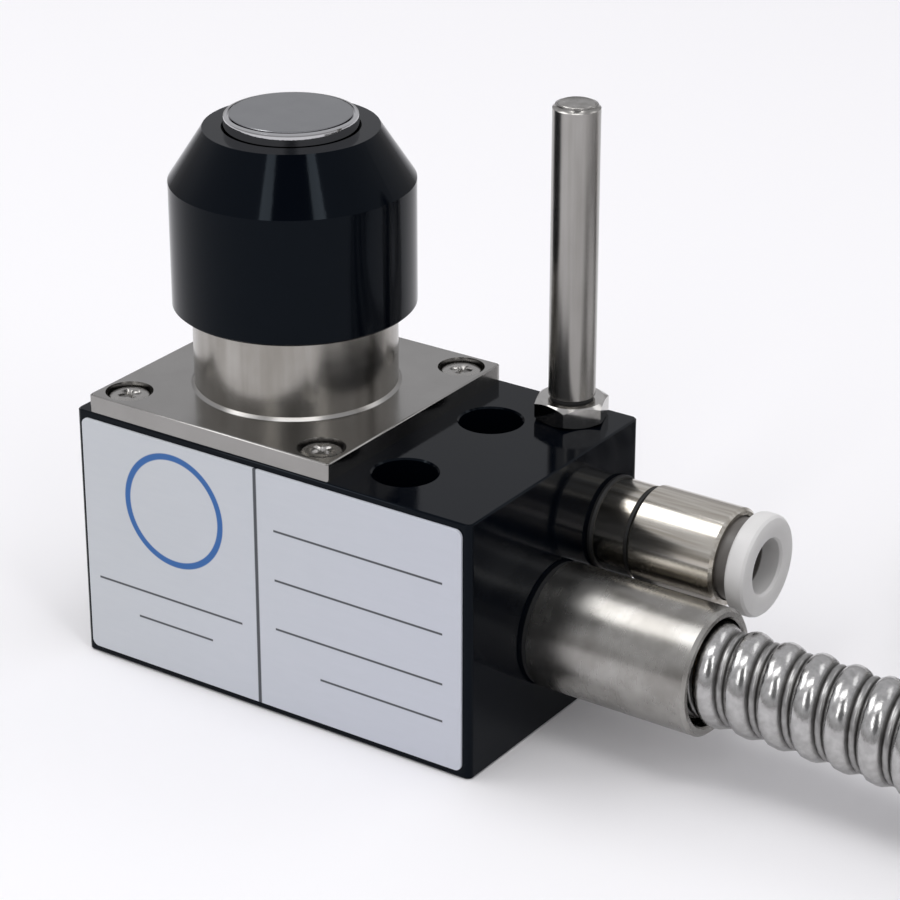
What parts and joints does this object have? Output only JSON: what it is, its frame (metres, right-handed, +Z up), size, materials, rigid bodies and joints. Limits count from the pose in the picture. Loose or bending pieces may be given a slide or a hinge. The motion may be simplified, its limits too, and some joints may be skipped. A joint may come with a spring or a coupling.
{
  "type": "tool setter",
  "caption": "Block-mounted tool setter: sprung contact pad in a capped guard on a flanged neck, air-blow pipe, push-in air fitting and a sleeve with an armoured lead.",
  "frame": {"origin": "on the underside of the block, under the contact pad's axis", "axes": "+Z up along the contact pad's stroke, +X towards the air fitting and the lead, label face towards -Y"},
  "size_m": [0.2865, 0.2134, 0.0882],
  "materials": {
    "black_block": "gloss",
    "black_guard": "gloss",
    "cover_plate": "satin",
    "label": "satin",
    "flange_steel": "satin",
    "screw_steel": "satin",
    "pad_steel": "polished",
    "shaft_steel": "polished",
    "pipe_steel": "satin",
    "bronze": "satin",
    "black_rubber": "matte",
    "switch_steel": "satin",
    "nickel": "polished",
    "white_plastic": "satin",
    "sleeve_steel": "satin",
    "conduit_steel": "satin",
    "insulator": "matte"
  },
  "bodies": {
    "base": {"housing": "black_block", "base_cover": "cover_plate", "cover_screws": "screw_steel", "label_plate": "label", "flange_neck": "flange_steel", "flange_seal": "black_rubber", "flange_screws": "screw_steel", "guide_bush": "bronze", "return_spring": "shaft_steel", "switch_body": "switch_steel", "switch_nut": "screw_steel", "switch_bracket": "switch_steel", "bracket_screws": "screw_steel", "signal_lead": "black_rubber", "air_pipe": "pipe_steel", "pipe_nut": "screw_steel", "fitting_base": "nickel", "fitting_oring": "black_rubber", "fitting_body": "nickel", "tube_seal": "black_rubber", "grip_collet": "shaft_steel", "sleeve_seal": "black_rubber", "cable_sleeve": "sleeve_steel", "conduit_ferrule": "bronze", "conduit": "conduit_steel", "conduit_coil": "conduit_steel", "end_ferrule": "sleeve_steel", "plug_shell": "nickel", "plug_insert": "insulator", "plug_pins": "bronze"},
    "plunger": {"chip_guard": "black_guard", "contact_pad": "pad_steel", "plunger_shaft": "shaft_steel", "guard_wiper": "black_rubber", "stop_ring": "shaft_steel"},
    "switch_pin": {"switch_pin": "shaft_steel"},
    "release_ring": {"release_ring": "white_plastic"}
  },
  "joints": [
    {"name": "pad_stroke", "type": "slide", "parent": "base", "child": "plunger", "axis": [0, 0, -1], "range_m": [0, 0.005], "stiffness_N_per_m": 600, "springref_m": -0.005, "deforming": ["return_spring"]},
    {"name": "pin_stroke", "type": "slide", "parent": "base", "child": "switch_pin", "axis": [0, 0, -1], "range_m": [0, 0.005]},
    {"name": "release_press", "type": "slide", "parent": "base", "child": "release_ring", "axis": [-1, 0, 0], "range_m": [0, 0.0012], "stiffness_N_per_m": 2500, "springref_m": -0.0004}
  ],
  "couplings": [
    {"joint": "pin_stroke", "follows": "pad_stroke", "ratio": 1}
  ]
}
